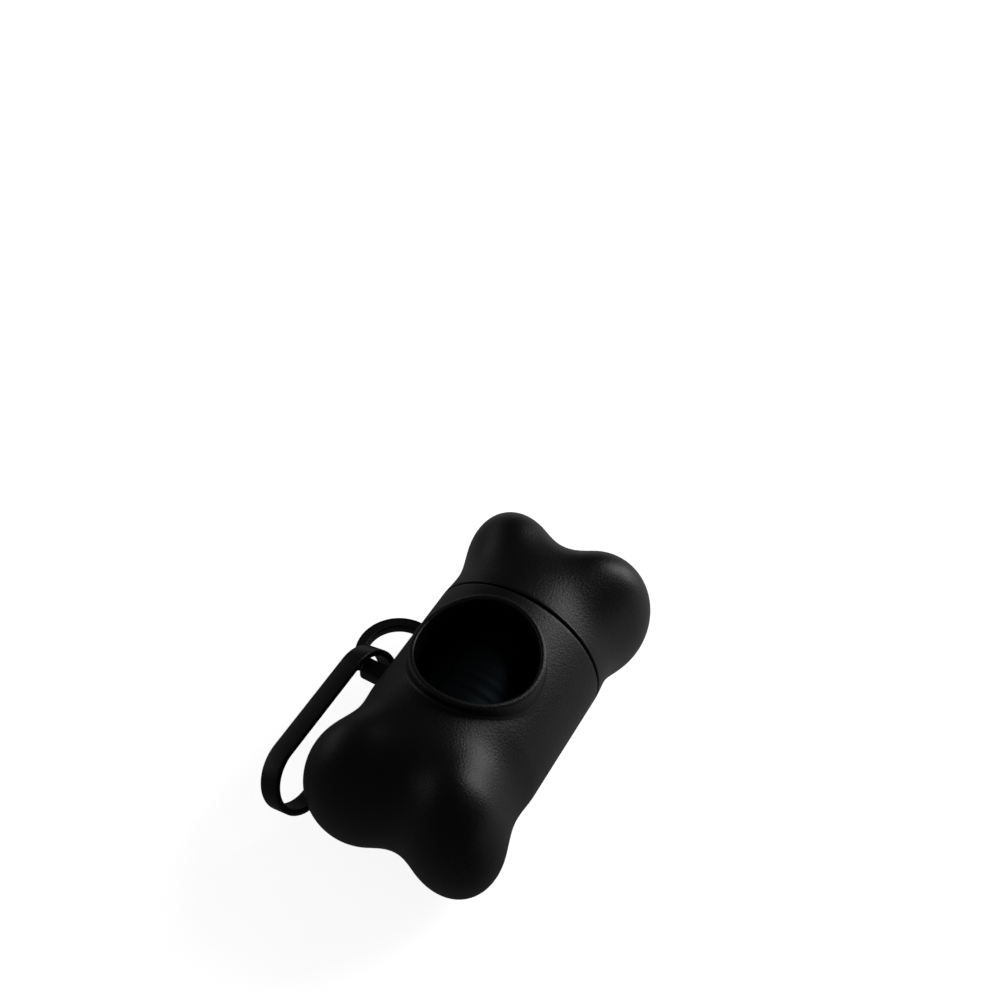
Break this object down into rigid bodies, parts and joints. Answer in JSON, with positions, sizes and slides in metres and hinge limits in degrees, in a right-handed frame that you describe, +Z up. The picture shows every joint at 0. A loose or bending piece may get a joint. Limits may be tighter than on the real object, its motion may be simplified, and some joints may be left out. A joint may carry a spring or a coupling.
{
  "type": "dog waste bag dispenser",
  "caption": "Bone-shaped dispenser with a roll of bags inside, a collared opening, a push-on end cap and a sprung hook on an ear.",
  "frame": {"origin": "on the bone's axis, midway between the tips of its lobes, in the middle of the roll of bags", "axes": "+X along the bone towards the cap, +Y across its lobes to the side with the ear and hook, +Z up through the bag opening"},
  "size_m": [0.0874, 0.0566, 0.044],
  "materials": {
    "shell_plastic": "black, moulded, with a fine matte grain",
    "cap_plastic": "black, moulded, with a fine matte grain",
    "hook_plastic": "black, moulded, satin",
    "card": "plain brown card",
    "wound_film": "black polythene film, wound",
    "loose_film": "black polythene film"
  },
  "bodies": {
    "body": {"body_shell": "shell_plastic"},
    "cap": {"end_cap": "cap_plastic"},
    "hook": {"clip_hook": "hook_plastic"},
    "roll": {"roll_core": "card", "bag_roll": "wound_film", "lead_bag": "loose_film"}
  },
  "joints": [
    {"name": "cap_pull", "type": "slide", "parent": "body", "child": "cap", "axis": [1, 0, 0], "range_m": [0, 0.03]},
    {"name": "hook_swing", "type": "hinge", "parent": "body", "child": "hook", "pos_m": [-0.0006, 0.025, -0.0043], "axis": [0, 0, 1], "range_deg": [-140, 0]},
    {"name": "roll_spin", "type": "hinge", "parent": "body", "child": "roll", "pos_m": [0, 0, 0], "axis": [1, 0, 0], "continuous": true}
  ]
}
